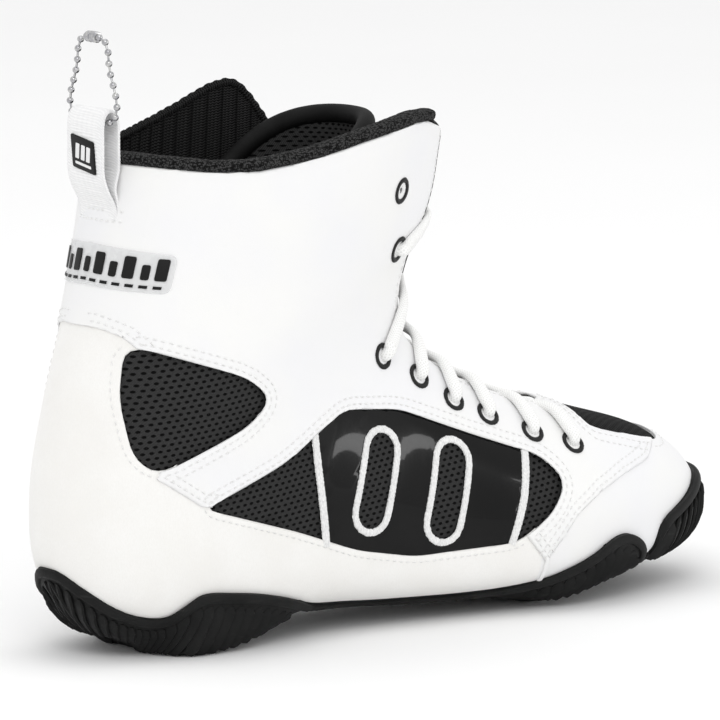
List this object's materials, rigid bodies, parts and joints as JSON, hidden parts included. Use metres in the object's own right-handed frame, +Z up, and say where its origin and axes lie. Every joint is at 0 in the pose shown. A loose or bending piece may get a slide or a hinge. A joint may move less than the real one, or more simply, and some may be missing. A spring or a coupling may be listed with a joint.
{
  "type": "boxing boot",
  "caption": "High-top boxing boot, right foot, with laced throat, padded tongue, mesh and patent side windows, wrapped rubber sole and a pull loop at the back.",
  "frame": {"origin": "centre of the flat tread under the heel, on the ground", "axes": "+X to the toe, +Y to the inner side of the foot, +Z up the leg"},
  "size_m": [0.3047, 0.0995, 0.229],
  "materials": {
    "rubber": "matt black moulded rubber",
    "fibreboard": "plain fibreboard",
    "sockliner_cloth": "black cloth over foam",
    "knit_lining": "black ribbed knit",
    "black_mesh": "open black mesh",
    "white_leather": "smooth white synthetic leather",
    "suede_leather": "fine matt off-white synthetic suede",
    "patent": "black patent, high gloss",
    "film": "clear film with black bars",
    "binding": "black woven binding",
    "tongue_cloth": "black mesh over foam",
    "lace_cotton": "white flat woven lace",
    "webbing": "white ribbed webbing",
    "label": "black stitched label",
    "steel": "bright nickel plate",
    "eyelet_thread": "black buttonhole stitching"
  },
  "bodies": {
    "boot": {"outsole": "rubber", "lasting_board": "fibreboard", "lining_collar": "knit_lining", "lining_foot": "knit_lining", "heel_counter": "fibreboard", "toe_puff": "fibreboard", "vamp_mesh": "black_mesh", "ankle_mesh_outer": "black_mesh", "ankle_mesh_inner": "black_mesh", "midfoot_mesh_outer": "black_mesh", "midfoot_mesh_inner": "black_mesh", "toe_cap": "white_leather", "heel_overlay": "suede_leather", "quarter_panel": "white_leather", "patent_panel_outer": "patent", "patent_panel_inner": "patent", "back_patch": "film", "collar_binding": "binding", "tongue_lower": "tongue_cloth", "lace": "lace_cotton", "loop_base": "webbing", "eyelet_outer_1": "eyelet_thread", "eyelet_outer_2": "eyelet_thread", "eyelet_outer_3": "eyelet_thread", "eyelet_outer_4": "eyelet_thread", "eyelet_outer_5": "eyelet_thread", "eyelet_outer_6": "eyelet_thread", "eyelet_outer_7": "eyelet_thread", "eyelet_outer_8": "eyelet_thread", "eyelet_inner_1": "eyelet_thread", "eyelet_inner_2": "eyelet_thread", "eyelet_inner_3": "eyelet_thread", "eyelet_inner_4": "eyelet_thread", "eyelet_inner_5": "eyelet_thread", "eyelet_inner_6": "eyelet_thread", "eyelet_inner_7": "eyelet_thread", "eyelet_inner_8": "eyelet_thread"},
    "tongue_tip": {"tongue_upper": "tongue_cloth", "tongue_piping": "binding"},
    "insole": {"sockliner": "sockliner_cloth"},
    "loop": {"pull_loop": "webbing", "loop_label": "label"},
    "chain": {"ball_chain": "steel", "chain_connector": "steel"}
  },
  "joints": [
    {"name": "tongue_fold", "type": "hinge", "parent": "boot", "child": "tongue_tip", "pos_m": [0.11345, 0, 0.14815], "axis": [0, 1, 0], "range_deg": [-12, 0], "stiffness_Nm_per_rad": 0.15},
    {"name": "insole_lift", "type": "slide", "parent": "boot", "child": "insole", "axis": [0, 0, 1], "range_m": [0, 0.008]},
    {"name": "loop_fold", "type": "hinge", "parent": "boot", "child": "loop", "pos_m": [-0.0182, 0, 0.16615], "axis": [0, 1, 0], "range_deg": [-80, 0], "stiffness_Nm_per_rad": 0.02},
    {"name": "chain_swing", "type": "hinge", "parent": "loop", "child": "chain", "pos_m": [-0.01705, 0, 0.1965], "axis": [0, 1, 0], "range_deg": [-100, 45]}
  ]
}
